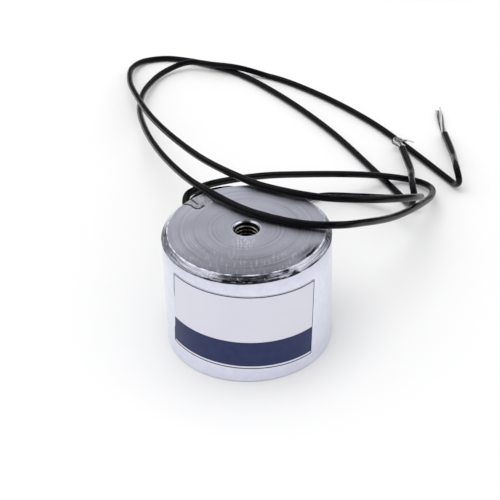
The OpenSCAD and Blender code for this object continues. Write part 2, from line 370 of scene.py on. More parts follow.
def cut_back(ring, centre, way):
    """A ring of a lead's end, slanted as the insulation was cut: its upper side is shorter."""
    upper = np.maximum(0.0, (ring - centre)[:, 2]) / (LEAD_D / 2)
    return ring - CUT_SLANT * upper[:, None] * way


def make_lead(name, path, material, cut_highlight_material):
    """A lead's insulation: a round tube with a cut end that shows the bore of the strands, its cut face pale
    as a painted highlight.
    """
    run = run_of(path)
    body = np.vstack([path[run < run[-1] - CUT_SLANT - LEAD_STEP], path[-1]])
    run = run_of(body)
    swell = 1 + END_SWELL * np.clip((run - run[-1] + END_SWELL_RUN) / END_SWELL_RAMP, 0, 1)
    wander = np.array([1 + WANDER * noise.noise(Vector(q) * WANDER_SCALE) for q in body])
    rings = rings_along(body, LEAD_D / 2 * swell * wander, LEAD_SIDES)

    end, way = body[-1], ways_along(body)[0][-1]
    spokes = rings[-1] - end
    spokes /= np.linalg.norm(spokes, axis=1)[:, None]
    outer, bore = LEAD_D / 2 * swell[-1], LEAD_BORE_D / 2
    lip = end + CUT_RIM * way
    cut = [rings[-1], lip + (outer - CUT_RIM) * spokes, lip + (bore + CUT_RIM) * spokes]
    cut = [cut_back(ring, end, way) for ring in cut]
    corners, faces = joined(np.stack([*rings[:-1], *cut, end - CUT_DEEP * way + bore * spokes]))
    corners[:, 2] = np.maximum(corners[:, 2], 0.0)

    piece = add_mesh(name, corners, faces, material, "lead_jacket")
    piece.data.materials.append(cut_highlight_material)
    # The cut face takes the pale material: a painted highlight on the cut end
    first_cut_face = len(body) * LEAD_SIDES
    for polygon in piece.data.polygons[first_cut_face:first_cut_face + LEAD_SIDES]:
        polygon.material_index = 1
    crease(piece, CUT_SHARP)
    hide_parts(name.removesuffix("_jacket"))
    return piece


def make_strands(name, lead, bare, fray, bright, shaded_tin):
    """Seven twisted strands, every other one in a darker copy of the tin as painted shade, that fray out of
    a lead's bore.
    """
    end, way = lead[-1], ways_along(lead)[0][-1]
    route = [end - STRANDS_INSIDE * way, end, end + BARE_STRAIGHT * way, *bare]
    path = smooth_path(route, STRAND_STEP, STRAND_R)
    run = run_of(path)
    _, side, other = ways_along(path)
    free = np.clip((run - STRANDS_INSIDE) / (run[-1] - STRANDS_INSIDE), 0, 1)
    ease = free * free * (3 - 2 * free)
    shells, shaded_faces = [], []
    for k, tip in enumerate(fray):
        lay_r = 0 if k == 0 else STRAND_LAY_R
        turn = 2 * math.pi * (run / STRAND_TWIST + k / (len(fray) - 1))
        spread = ROOT_SPREAD + (1 - ROOT_SPREAD) * np.sin(math.pi * np.sqrt(free))
        lay = lay_r * spread[:, None] * (np.cos(turn)[:, None] * side + np.sin(turn)[:, None] * other)
        strand = path + lay + ease[:, None] * np.array(tip)
        strand[:, 2] = np.maximum(strand[:, 2], STRAND_R)
        corners, faces = joined(rings_along(strand, STRAND_R, STRAND_SIDES))
        shells.append((corners, faces))
        # Every other strand takes the shaded copy of the tin: painted shade between the strands
        shaded_faces += [k % 2] * len(faces)
    piece = add_mesh(name, *merged(shells), bright, "tinned_strands")
    piece.data.materials.append(shaded_tin)
    piece.data.polygons.foreach_set("material_index", shaded_faces)
    crease(piece, CUT_SHARP)
    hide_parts(name.removesuffix("_bundle"))
    return piece


# Thread in the back: standard coarse pitch, height of its turns, room at the wall, and its countersink
THREAD_PITCH = 0.0005
THREAD_RISE = 0.00025
THREAD_WALL_GAP = 0.000004
THREAD_MOUTH = 0.00015
# Shape of a turn: how far the flanks would rise if the crest weren't flat, and how steep they are
THREAD_PEAK = 1.25
THREAD_FLANK = 2.5
THREAD_TURN_STEPS = 72
THREAD_PITCH_STEPS = 14


def make_thread(material):
    """The turns of the tapped hole, cut back by the countersink at the mouth, as a closed sleeve."""
    outer = THREAD_R - THREAD_WALL_GAP
    top = BODY_H - THREAD_MOUTH
    bottom = top - THREAD_LEN
    rows = round(THREAD_LEN / THREAD_PITCH * THREAD_PITCH_STEPS)
    heights = np.linspace(bottom, top, rows + 1)
    turns = np.linspace(0, 1, THREAD_TURN_STEPS, endpoint=False)
    phase = (heights[:, None] / THREAD_PITCH - turns[None, :]) % 1
    ridge = np.clip(THREAD_PEAK - THREAD_FLANK * np.abs(2 * phase - 1), 0, 1)
    radius = outer - THREAD_RISE * ridge
    radius = np.maximum(radius, outer - (top - heights)[:, None])
    angle = 2 * math.pi * turns
    ring = np.stack([np.cos(angle), np.sin(angle)], axis=1)
    inner = np.concatenate([
        radius[:, :, None] * ring[None],
        np.broadcast_to(heights[:, None, None], (*radius.shape, 1)),
    ], axis=2).reshape(-1, 3)
    n = THREAD_TURN_STEPS
    outer_rings = [np.column_stack([outer * ring, np.full(n, z)]) for z in (top, bottom)]
    rings = rows + 3
    faces = []
    for i in range(rings):
        a, b = i * n, ((i + 1) % rings) * n
        for k in range(n):
            m = (k + 1) % n
            faces.append((a + k, b + k, b + m, a + m))
    piece = add_mesh("thread_turns", np.vstack([inner, *outer_rings]), faces, material, "nickel_steel")
    crease(piece, THREAD_SHARP)


# Slot resin: the slot's plan, how fine it is remeshed, and its noise: how it falls off and its spacing
SLOT_W = 0.0024
SLOT_END_R = 0.0066
RESIN_VOXEL = 0.00005
CAST_NOISE = (0.8, 2.1)
# Down to where below the back face it is rough, and over what height that comes in
RESIN_SHOWN = 0.0012
RESIN_FADE = 0.001
# Its grain, the sink in its middle and the drop at its edge, with the shares of the width they take
RESIN_GRAIN = 0.00003
RESIN_GRAIN_SCALE = 1700
RESIN_GRAIN_OCTAVES = 4
RESIN_SINK = 0.00004
RESIN_SINK_SHARE = 1 / 3
RESIN_EDGE = 0.00006
RESIN_EDGE_SHARE = 0.10
# Resin that ran out over the back face: its outline in plan, the edges that get painted shade, and its slit
RUN_OUTLINE = [
    (-0.00750, 0.00540),
    (-0.00702, 0.00537),
    (-0.00660, 0.00510),
    (-0.00632, 0.00465),
    (-0.00593, 0.00432),
    (-0.00552, 0.00434),
    (-0.00516, 0.00462),
    (-0.00498, 0.00500),
    (-0.00469, 0.00603),
    (-0.00481, 0.00691),
    (-0.00535, 0.00758),
    (-0.00585, 0.00720),
    (-0.00635, 0.00677),
    (-0.00680, 0.00632),
    (-0.00720, 0.00586),
]
RUN_DARK_EDGES = 7
RUN_SLIT = ((-0.00653, 0.00654), (-0.00576, 0.00533))
# Its thickness, its roughness, the least it keeps, how far it goes into the face, and its grid
RUN_T = 0.00006
RUN_ROUGH = 0.00005
RUN_ROUGH_SCALE = 2600
RUN_ROUGH_OCTAVES = 3
RUN_LEAST = 0.000006
RUN_UNDER = 0.00003
RUN_STEP = 0.00004
# Widths of its edge band, where it thins and takes painted shade, and of its slit, also in painted shade,
# the slit's depth, and how many corners put a cell in the painted shade
RUN_EDGE_W = 0.00022
SLIT_W = 0.00011
SLIT_DEEP = 0.00005
DARK_CORNERS = 2


def slot_plan(x, y):
    """A place seen from above, as outwards along the slot and aside from it."""
    out = x * math.cos(SLOT_AZ) + y * math.sin(SLOT_AZ)
    aside = y * math.cos(SLOT_AZ) - x * math.sin(SLOT_AZ)
    return out, aside


def off_line(points, start, end):
    """Distance of each of many points from a straight piece of line, in plan."""
    start, way = np.array(start), np.subtract(end, start)
    share = np.clip((points - start) @ way / (way @ way), 0, 1)
    return np.linalg.norm(points - start - share[:, None] * way, axis=1)


def within(points, outline):
    """Which of many points lie inside an outline, in plan."""
    inside = np.zeros(len(points), bool)
    x, y = points.T
    for (ax, ay), (bx, by) in zip(outline, outline[1:] + outline[:1]):
        if ay != by:
            inside ^= ((ay > y) != (by > y)) & (x < (bx - ax) * (y - ay) / (by - ay) + ax)
    return inside


def make_resin(material):
    """The cast resin, from its plain solid: remeshed, then roughened where it shows."""
    mesh = nodes["slot_resin"].data.copy()
    mesh.materials.clear()
    mesh.materials.append(material)
    piece = bpy.data.objects.new("slot_resin_cast", mesh)
    bpy.context.scene.collection.objects.link(piece)
    remesh = piece.modifiers.new("remesh", "REMESH")
    remesh.mode = "VOXEL"
    remesh.voxel_size = RESIN_VOXEL
    bpy.context.view_layer.update()
    cast = bpy.data.meshes.new_from_object(piece.evaluated_get(bpy.context.evaluated_depsgraph_get()))
    piece.modifiers.clear()
    piece.data = cast
    for v in cast.vertices:
        x, y, z = v.co
        if z > BODY_H - RESIN_SHOWN:
            v.co.z += resin_lift(x, y, z)
    cast.shade_smooth()
    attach(piece, "root")
    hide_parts("slot_resin")


def resin_lift(x, y, z):
    """How far a point of the resin stands above the plain cast: grain, a low sink and its edges."""
    out, aside = slot_plan(x, y)
    half = SLOT_W / 2
    inside = max(0.0, 1 - math.hypot(min(0.0, out - SLOT_END_R - half), aside) / half)
    spot = Vector((x, y, z)) * RESIN_GRAIN_SCALE
    grain = RESIN_GRAIN * noise.fractal(spot, *CAST_NOISE, RESIN_GRAIN_OCTAVES)
    sink = RESIN_SINK * min(1.0, inside / RESIN_SINK_SHARE)
    edge = RESIN_EDGE * math.exp(-inside / RESIN_EDGE_SHARE)
    top_share = max(0.0, min(1.0, (z - BODY_H + RESIN_SHOWN) / RESIN_FADE))
    return top_share * (grain - sink - edge)


def run_top(plan, inside, off_edge, off_slit):
    """Heights of the run's upper side: thin and rough, low at its edges, with a slit."""
    depth = np.where(inside, off_edge, 0.0)
    spots = [Vector((x, y, 0.0)) * RUN_ROUGH_SCALE for x, y in plan]
    rough = [noise.fractal(spot, *CAST_NOISE, RUN_ROUGH_OCTAVES) for spot in spots]
    rise = (RUN_T + RUN_ROUGH * np.array(rough)) * (1 - np.exp(-depth / RUN_EDGE_W))
    rise -= SLIT_DEEP * (off_slit < SLIT_W)
    return BODY_H + np.where(inside, np.maximum(rise, RUN_LEAST), -RUN_UNDER / 2)


def grid_cells(columns, rows, inside):
    """Corner numbers of each cell of a grid that has a corner inside an outline."""
    cells = [
        (i * rows + j, (i + 1) * rows + j, (i + 1) * rows + j + 1, i * rows + j + 1)
        for i in range(columns - 1)
        for j in range(rows - 1)
    ]
    return [cell for cell in cells if inside[list(cell)].any()]


def closed_skin(plan, top, bottom, cells):
    """Corners and faces of a skin over the cells of a plan, closed by walls and a flat underside."""
    layer = len(plan)
    sides = {(a, b) for cell in cells for a, b in zip(cell, cell[1:] + cell[:1])}
    faces = [*cells, *(tuple(layer + c for c in reversed(cell)) for cell in cells)]
    faces += [(b, a, layer + a, layer + b) for a, b in sorted(sides) if (b, a) not in sides]
    corners = np.vstack([np.column_stack([plan, z]) for z in (top, np.full(layer, bottom))])
    used = sorted({c for face in faces for c in face})
    number = {c: i for i, c in enumerate(used)}
    return corners[used], [tuple(number[c] for c in face) for face in faces]


def make_run(resin, run_shade):
    """The resin's run over the back face: a thin rough skin with painted shade along its front edge and in
    its slit.
    """
    low, high = np.min(RUN_OUTLINE, axis=0) - RUN_STEP, np.max(RUN_OUTLINE, axis=0) + RUN_STEP
    columns, rows = (np.arange(low[i], high[i] + RUN_STEP, RUN_STEP) for i in (0, 1))
    plan = np.array([(x, y) for x in columns for y in rows])
    edges = zip(RUN_OUTLINE, RUN_OUTLINE[1:] + RUN_OUTLINE[:1])
    off_edges = np.array([off_line(plan, *edge) for edge in edges])
    off_slit = off_line(plan, *RUN_SLIT)
    inside = within(plan, RUN_OUTLINE)
    top = run_top(plan, inside, off_edges.min(axis=0), off_slit)
    cells = grid_cells(len(columns), len(rows), inside)
    corners, faces = closed_skin(plan, top, BODY_H - RUN_UNDER, cells)
    piece = add_mesh("resin_run", corners, faces, resin, "slot_resin")
    piece.data.materials.append(run_shade)
    # Painted shade along the run's front edges and in its slit
    dark = (off_edges[:RUN_DARK_EDGES].min(axis=0) < RUN_EDGE_W) | (off_slit < SLIT_W)
    for polygon, cell in zip(piece.data.polygons, cells):
        polygon.material_index = int(dark[list(cell)].sum() >= DARK_CORNERS)


# Label print, in the label's own plane: its middle, size and slant
LABEL_SHIFT = -0.0007
LABEL_Z = 0.0073
LABEL_W = 0.0161
LABEL_H = 0.0104
LABEL_TILT = math.radians(2.5)
# The ink's thickness, steps round the pot, the frame's line, and the band's lower and upper edge
PRINT_T = 0.000006
PRINT_STEP = 0.00015
LINE_W = 0.00013
BAND_LOW = -0.00482
BAND_HIGH = -0.00132


def label_corner(across, up, lift):
    """A place on the label, bent round the pot."""
    x = across * math.cos(LABEL_TILT) + up * math.sin(LABEL_TILT) + LABEL_SHIFT
    z = up * math.cos(LABEL_TILT) - across * math.sin(LABEL_TILT) + LABEL_Z
    radius = LABEL_R + lift
    return (x, -math.sqrt(radius * radius - x * x), z)


def print_patch(left, right, low, high):
    """Corners and faces of one printed rectangle, as a thin closed skin on the label."""
    across = max(2, round((right - left) / PRINT_STEP))
    columns = np.linspace(left, right, across + 1)
    corners = [label_corner(x, z, lift) for lift in (0.0, PRINT_T) for z in (low, high) for x in columns]
    n = across + 1
    faces = []
    # Front, back, lower and upper edge, each between two rows of corners
    for i in range(across):
        for a, b in ((2, 3), (1, 0), (0, 2), (3, 1)):
            faces.append((a * n + i, a * n + i + 1, b * n + i + 1, b * n + i))
    faces.append((0, 2 * n, 3 * n, n))
    faces.append((n - 1, 2 * n - 1, 4 * n - 1, 3 * n - 1))
    return corners, faces


def make_print(name, patches, material):
    """Several printed rectangles as one piece."""
    shells = [print_patch(*patch) for patch in patches]
    piece = add_mesh(name, *merged(shells), material, "label")
    crease(piece, PRINT_SHARP)


def make_label_print(line_material, band_material):
    """The frame round the label and the broad band along its lower edge."""
    right, top = LABEL_W / 2, LABEL_H / 2
    side_w = LINE_W * math.cos(math.asin(right / BODY_R))
    make_print("label_frame", [
        (-right, right, top - LINE_W, top),
        (-right, right, -top, -top + LINE_W),
        (-right, -right + side_w, -top + LINE_W, top - LINE_W),
        (right - side_w, right, -top + LINE_W, top - LINE_W),
    ], line_material)
    make_print("label_band", [
        (-right + side_w, right - side_w, BAND_LOW, BAND_HIGH),
    ], band_material)


def new_material(name, base, roughness, metallic=0.0, specular=0.5):
    """A named material and its tree, with the shader's own constants set."""
    material = bpy.data.materials.new(name)
    material.use_nodes = True
    shader = material.node_tree.nodes["Principled BSDF"]
    shader.inputs["Base Color"].default_value = (*base, 1)
    shader.inputs["Roughness"].default_value = roughness
    shader.inputs["Metallic"].default_value = metallic
    shader.inputs["Specular IOR Level"].default_value = specular
    return material, material.node_tree


def drive(material, colour, normal, roughness=None, metallic=None):
    """Link what varies over a surface to its material's shader, and hand the material on."""
    tree = material.node_tree
    shader = tree.nodes["Principled BSDF"]
    links = {"Base Color": colour, "Normal": normal, "Roughness": roughness, "Metallic": metallic}
    for socket, output in links.items():
        if output:
            tree.links.new(output, shader.inputs[socket])
    return material


def add(tree, kind, inputs, **settings):
    """A node with its settings, whose inputs are numbers or other nodes' outputs."""
    node = tree.nodes.new("ShaderNode" + kind)
    for key, value in settings.items():
        setattr(node, key, value)
    for key, value in inputs.items():
        if isinstance(value, bpy.types.NodeSocket):
            tree.links.new(value, node.inputs[key])
        else:
            node.inputs[key].default_value = value
    return node


def place_of(tree):
    """The part's own coordinates."""
    return add(tree, "TexCoord", {}).outputs["Object"]


def math_of(tree, operation, a, b=0.0):
    """A number worked out from one or two others."""
    return add(tree, "Math", {0: a, 1: b}, operation=operation).outputs[0]


def product(tree, *factors):
    """Several numbers multiplied."""
    return reduce(lambda a, b: math_of(tree, "MULTIPLY", a, b), factors)


def total(tree, *terms):
    """Several numbers added."""
    return reduce(lambda a, b: math_of(tree, "ADD", a, b), terms)


def weighed(tree, marks):
    """Several marks added, each with its weight."""
    return total(tree, *(product(tree, mark, weight) for mark, weight in marks))


def ranged(tree, value, low, high, out_low, out_high):
    """A value from one range brought into another, and held at its ends."""
    return add(tree, "MapRange", {
        "Value": value, "From Min": low, "From Max": high, "To Min": out_low, "To Max": out_high,
    }).outputs["Result"]


def rising(tree, value, start, full):
    """0 up to the start of a range, 1 from its end on."""
    return ranged(tree, value, start, full, 0, 1)


def falling(tree, value, full, end):
    """1 up to the start of a range, 0 from its end on."""
    return ranged(tree, value, full, end, 1, 0)


def plateau(tree, value, start, full, full_end, end):
    """1 over a range, and 0 outside it, with soft ends."""
    return product(tree, rising(tree, value, start, full), falling(tree, value, full_end, end))


def distance(tree, place, point):
    """Distance from a fixed point."""
    return add(tree, "VectorMath", {0: place, 1: point}, operation="DISTANCE").outputs["Value"]


def grain_of(tree, place, scale, detail=3.0, stretch=None):
    """Noise in space, stretched along an axis where asked."""
    if stretch:
        place = add(tree, "Mapping", {"Vector": place, "Scale": stretch}).outputs["Vector"]
    return add(tree, "TexNoise", {"Vector": place, "Scale": scale, "Detail": detail}).outputs["Fac"]


def cloud_of(tree, place, scale, detail=3.0):
    """Noise in space, from 0 to 1 over the span that most of it lies in."""
    return rising(tree, grain_of(tree, place, scale, detail), *NOISE_SPAN)


def lines_of(tree, value, scale, detail=3.0):
    """Noise along one value, which makes rings or lines."""
    inputs = {"W": value, "Scale": scale, "Detail": detail}
    return add(tree, "TexNoise", inputs, noise_dimensions="1D").outputs["Fac"]


def marks_of(tree, place, scales, span, faint=0, strong=1):
    """Stretched noise, cut down to the marks that stand out of it."""
    return ranged(tree, grain_of(tree, place, 1, 2, scales), *span, faint, strong)


def mixed(tree, share, a, b):
    """A number between two others."""
    return add(tree, "Mix", {0: share, 2: a, 3: b}, data_type="FLOAT").outputs[0]


def tinted(tree, share, a, b):
    """A colour between two others, each a colour or a node's output."""
    a, b = (c if isinstance(c, bpy.types.NodeSocket) else (*c, 1) for c in (a, b))
    return add(tree, "Mix", {0: share, 6: a, 7: b}, data_type="RGBA").outputs[2]


def ramp_of(tree, share, steps):
    """A colour between several, each at its own share."""
    ramp = add(tree, "ValToRGB", {"Fac": share})
    elements = ramp.color_ramp.elements
    while len(elements) < len(steps):
        elements.new(0.5)
    for element, (position, colour) in zip(elements, steps):
        element.position = position
        element.color = (*colour, 1)
    return ramp.outputs["Color"]


def bumped(tree, height, rise, under=None):
    """A normal bent by a height, on top of another normal."""
    inputs = {"Height": height, "Distance": rise, "Strength": 1.0}
    if under:
        inputs["Normal"] = under
    return add(tree, "Bump", inputs).outputs["Normal"]


class Spot:
    """A point of the part as its material sees it: place, y, height and distance from the axis."""

    def __init__(self, tree):
        self.place = place_of(tree)
        split = add(tree, "SeparateXYZ", {"Vector": self.place})
        self.y = split.outputs["Y"]
        self.height = split.outputs["Z"]
        flat = add(tree, "VectorMath", {0: self.place, 1: (1, 1, 0)}, operation="MULTIPLY").outputs[0]
        self.radius = add(tree, "VectorMath", {0: flat}, operation="LENGTH").outputs["Value"]


# The span that most noise lies in
NOISE_SPAN = (0.3, 0.7)
# Plate: its colours by share of the way from its darkest tone to its lightest, and those two tones; the
# darkest steps serve painted shade
PLATE_STEPS = [
    (0.0, (0.015, 0.015, 0.022)),
    (0.12, (0.18, 0.183, 0.226)),
    (1.0, (0.85, 0.865, 1.0)),
]
PLATE_TONES = (-1.0, 1.4)
# How upright a normal is on the wall and the bevel, and on the flat faces
FLAT_FROM = (0.80, 0.97)
# Turning marks: noise scales of fine and broad rings and of lines round the wall, and the rings' wander
RING_SCALE = 3600
BROAD_SCALE = 900
WALL_LINE_SCALE = 4200
RING_WANDER = 0.00025
RING_WANDER_SCALE = 260
RING_SPAN = (-0.5, 0.5)
# Marks: noise scale along each axis, and the span of noise that they stand out of; scratches and streaks are
# wear, dashes, strokes and specks are painted glints
DASHES = ((3600, 800, 800), (0.54, 0.74))
STROKES = ((5200, 1100, 800), (0.47, 0.60))
SCRATCHES = ((900, 9000, 900), (0.66, 0.78))
CROSS_SCRATCHES = ((7000, 700, 700), (0.68, 0.80))
STREAKS = ((260, 260, 5200), (0.36, 0.64))
SPECKS = ((1300, 1300, 3600), (0.40, 0.60))
# Along y on the back face: where painted shade darkens its front, painted light lightens its back, and
# painted glint dashes come in
FRONT_Y = (-0.0030, -0.0088)
BACK_Y = (0.0010, 0.0080)
DASHES_Y = (-0.0022, -0.0066)
# Painted glint strokes in front of the hole and a patch of painted shade near the right front: place, and
# where they fade by distance
STROKES_PLACE = (-0.0003, -0.0029, BODY_H)
STROKES_FADE = (0.8 * MM, 1.7 * MM)
SHADE_PATCH_PLACE = (0.0073, -0.0053, BODY_H)
SHADE_PATCH_FADE = (0.6 * MM, 2.4 * MM)
SHADE_PATCH_RIM = (7.7 * MM, 8.9 * MM)
# Round the hole: a painted highlight on its lip, a painted shade arc behind it, half their width, and where
# the lip and arc begin
LIP_R = THREAD_R + 0.00021
ARC_R = THREAD_R + 0.00031
LIP_W = 0.00004
LIP_DOWN = (-0.1 * MM, -0.05 * MM)
ARC_Y = (-0.0004, 0.0010)
# Bevel: how near its plane it counts, and where its upper edge gets painted highlights and its lower one
# painted shade
BEVEL_NEAR = (-0.16 * MM, -0.04 * MM)
HIGHLIGHT_EDGE = (-0.09 * MM, -0.05 * MM, 0.05 * MM, 0.10 * MM)
HIGHLIGHT_DOWN = (-0.3 * MM, -0.2 * MM)
SHADE_EDGE = (-0.07 * MM, -0.03 * MM, 0.06 * MM, 0.14 * MM)
SHADE_RIM = (-0.20 * MM, -0.15 * MM)
# Its front, darkened as a painted dark reflection: which way it faces, where it begins along that way, and
# its painted glint specks before that
DARK_WAY = (0.06, -1.0, 0.0)
DARK_FROM = (8.3 * MM, 8.65 * MM)
SPECKS_FROM = (7.9 * MM, 8.4 * MM)
# Wall: the stretch below the back face over which painted shade darkens it
WALL_SHADE = (-3.4 * MM, -1.0 * MM)
# Noise scales of blotches, mottle, gaps in the rings, lines of the patch of painted shade, the painted
# highlights, the painted shade line and nicks
BLOTCH_SCALE = 330
MOTTLE_SCALE = 1100
GAP_SCALE = 190
SHADE_PATCH_SCALE = 2600
HIGHLIGHT_SCALE = 800
LIP_SCALE = 700
SHADE_SCALE = 500
NICK_SCALE = 1500
# Roughness of the wall, the flat faces and the painted shade line, and how metallic the painted highlights
# stay
WALL_ROUGH = 0.2
FACE_ROUGH = (0.36, 0.48)
SHADE_ROUGH = 0.7
HIGHLIGHT_METAL = 0.25


def turning_marks(tree, at):
    """Rings that come and go: the wandering radius that they follow, fine ones and broad ones."""
    wander = ranged(tree, grain_of(tree, at.place, RING_WANDER_SCALE), 0, 1, -RING_WANDER, RING_WANDER)
    turned = total(tree, at.radius, wander)
    shown = ranged(tree, grain_of(tree, at.place, GAP_SCALE, 2), 0.35, 0.65, 0.15, 1)
    fine = ranged(tree, lines_of(tree, turned, RING_SCALE, 4), *NOISE_SPAN, *RING_SPAN)
    broad = ranged(tree, lines_of(tree, turned, BROAD_SCALE, 2), *NOISE_SPAN, *RING_SPAN)
    return turned, product(tree, fine, shown), product(tree, broad, shown)


def painted_glints(tree, at):
    """Painted glints: bright dashes towards the front of the back face, and close strokes in front of the
    hole.
    """
    dashes = product(tree, marks_of(tree, at.place, *DASHES), ranged(tree, at.y, *DASHES_Y, 0.12, 1))
    near = falling(tree, distance(tree, at.place, STROKES_PLACE), *STROKES_FADE)
    strokes = product(tree, marks_of(tree, at.place, *STROKES), near)
    return math_of(tree, "MAXIMUM", strokes, dashes)


def painted_shade_patch(tree, at, turned):
    """A patch of painted shade near the rim, in lines that follow the turning."""
    return product(
        tree,
        falling(tree, distance(tree, at.place, SHADE_PATCH_PLACE), *SHADE_PATCH_FADE),
        rising(tree, at.radius, *SHADE_PATCH_RIM),
        ranged(tree, lines_of(tree, turned, SHADE_PATCH_SCALE, 3), 0.35, 0.6, 0.2, 1),
    )


def thin_ring(tree, at, radius):
    """A thin ring round the hole."""
    off_ring = math_of(tree, "ABSOLUTE", math_of(tree, "SUBTRACT", at.radius, radius))
    return falling(tree, off_ring, LIP_W, 2 * LIP_W)


def painted_highlights(tree, at):
    """Where the plate gets painted highlights: the bevel's upper edge and the lip of the hole."""
    edge = product(
        tree,
        plateau(tree, at.radius, *(BODY_R - BEVEL + off for off in HIGHLIGHT_EDGE)),
        rising(tree, at.height, *(BODY_H + off for off in HIGHLIGHT_DOWN)),
        ranged(tree, grain_of(tree, at.place, HIGHLIGHT_SCALE, 3), 0.38, 0.56, 0.15, 1),
    )
    lip = product(
        tree,
        thin_ring(tree, at, LIP_R),
        ranged(tree, at.height, *(BODY_H + off for off in LIP_DOWN), 0, 0.7),
        ranged(tree, grain_of(tree, at.place, LIP_SCALE, 2), 0.40, 0.56, 0.2, 1),
    )
    return math_of(tree, "MAXIMUM", edge, lip)


def painted_edge_shade(tree, at):
    """A line of painted shade along the bevel's lower edge."""
    return product(
        tree,
        plateau(tree, at.height, *(BODY_H - BEVEL + off for off in SHADE_EDGE)),
        rising(tree, at.radius, *(BODY_R + off for off in SHADE_RIM)),
        ranged(tree, grain_of(tree, at.place, SHADE_SCALE, 3), 0.40, 0.60, 0.25, 0.95),
    )


def face_tone(tree, at, turned, rings, broad, blotch):
    """Tone of the flat faces: turning marks, painted shade on the front with painted glint dashes, painted
    light at the back, a patch of painted shade, and a painted shade arc at the hole.
    """
    # A painted shade arc behind the hole's lip
    arc = product(tree, thin_ring(tree, at, ARC_R), rising(tree, at.y, *ARC_Y))
    return total(tree, ranged(tree, blotch, 0, 1, 0.40, 0.60), weighed(tree, [
        (rings, 0.5),
        (broad, 0.45),
        # Painted shade on the front of the back face, painted light on its back
        (rising(tree, at.y, *FRONT_Y), -0.85),
        (rising(tree, at.y, *BACK_Y), 0.40),
        # Painted glints
        (painted_glints(tree, at), 0.75),
        # A patch of painted shade near the right front
        (painted_shade_patch(tree, at, turned), -1.8),
        (arc, -1.2),
    ]))


def wall_tone(tree, at):
    """Tone of the wall: painted shade that darkens it towards the bevel, and mottled."""
    # Painted shade towards the bevel
    shade = ranged(tree, at.height, *(BODY_H + off for off in WALL_SHADE), 1.10, 0.80)
    mottle = grain_of(tree, at.place, MOTTLE_SCALE, 4)
    return total(tree, shade, ranged(tree, mottle, *NOISE_SPAN, -0.10, 0.10))


def bevel_tone(tree, at, streak):
    """What the bevel adds to the tone: streaks, a painted dark reflection on its front, and painted glint
    specks where that begins.
    """
    along = add(tree, "VectorMath", {0: at.place, 1: DARK_WAY}, operation="DOT_PRODUCT").outputs["Value"]
    # Painted dark reflection on the bevel's front
    black = product(tree, rising(tree, along, *DARK_FROM), ranged(tree, streak, 0, 1, 0.7, 1.7))
    # Painted glint specks where it begins
    specks = marks_of(tree, at.place, *SPECKS, -1, 1)
    specks = product(tree, specks, ranged(tree, along, *SPECKS_FROM, 0, 0.55))
    return weighed(tree, [(specks, 1.0), (streak, -0.5), (black, -1.0)])


def nickel():
    """Turned steel under nickel: satin rings on flat faces, fine lines round the wall, painted highlights
    and painted shade on the bevel and back face.
    """
    material, tree = new_material("nickel_plate", (0.76, 0.77, 0.85), 0.3, metallic=1.0)
    at = Spot(tree)
    facing = add(tree, "SeparateXYZ", {"Vector": add(tree, "NewGeometry", {}).outputs["Normal"]})
    flatness = rising(tree, math_of(tree, "ABSOLUTE", facing.outputs["Z"]), *FLAT_FROM)
    bevel_sum = BODY_R + BODY_H - BEVEL
    bevel = rising(tree, total(tree, at.radius, at.height), *(bevel_sum + off for off in BEVEL_NEAR))

    turned, rings, broad = turning_marks(tree, at)
    blotch = cloud_of(tree, at.place, BLOTCH_SCALE, 4)
    streak = marks_of(tree, at.place, *STREAKS)
    nick = rising(tree, grain_of(tree, at.place, NICK_SCALE, 3), 0.62, 0.72)
    scratched = total(tree, *(marks_of(tree, at.place, *kind) for kind in (SCRATCHES, CROSS_SCRATCHES)))
    # Painted highlights on the bevel's upper edge and the hole's lip
    edge_highlight = painted_highlights(tree, at)
    # Painted shade along the bevel's lower edge
    edge_shade = painted_edge_shade(tree, at)

    normal = None
    for height, rise in [
        (mixed(tree, flatness, lines_of(tree, at.height, WALL_LINE_SCALE, 3), rings), 0.000002),
        (broad, 0.000005),
        (scratched, -0.0000035),
        (product(tree, streak, bevel), 0.00003),
        (product(tree, nick, bevel), -0.00003),
    ]:
        normal = bumped(tree, height, rise, normal)

    # Tone: the faces and wall with their painted shade and light, the bevel's painted dark reflection and
    # glints, and its painted shade line
    tone = total(
        tree,
        mixed(tree, flatness, wall_tone(tree, at), face_tone(tree, at, turned, rings, broad, blotch)),
        product(tree, bevel_tone(tree, at, streak), bevel),
        product(tree, edge_shade, -2.0),
    )
    # Where the painted highlights lie, the colour goes white, and the plate less metallic below
    tone = mixed(tree, edge_highlight, rising(tree, tone, *PLATE_TONES), 1.0)
    rough = mixed(tree, flatness, WALL_ROUGH, ranged(tree, blotch, 0, 1, *FACE_ROUGH))
    return drive(
        material,
        colour=ramp_of(tree, tone, PLATE_STEPS),
        normal=normal,
        # The painted shade line is also rough and not metallic
        roughness=mixed(tree, edge_shade, rough, SHADE_ROUGH),
        metallic=product(tree, ranged(tree, edge_highlight, 0, 1, 1, HIGHLIGHT_METAL), falling(tree, edge_shade, 0, 1)),
    )


def thread_steel():
    """Cut thread in the hole: oily, bright on its crests, with painted shade darkening its roots."""
    material, tree = new_material("thread_steel", (0.3, 0.29, 0.28), 0.32, metallic=1.0)
    at = Spot(tree)
    # The near-black colour of the roots is painted shade
    crest = rising(tree, at.radius, THREAD_R - 0.5 * THREAD_RISE, THREAD_R - THREAD_RISE)
    return drive(
        material,
        colour=tinted(tree, crest, (0.012, 0.012, 0.012), (0.46, 0.43, 0.38)),
        normal=bumped(tree, grain_of(tree, at.place, 9000, 2, stretch=(1, 1, 5)), 0.000004),
    )


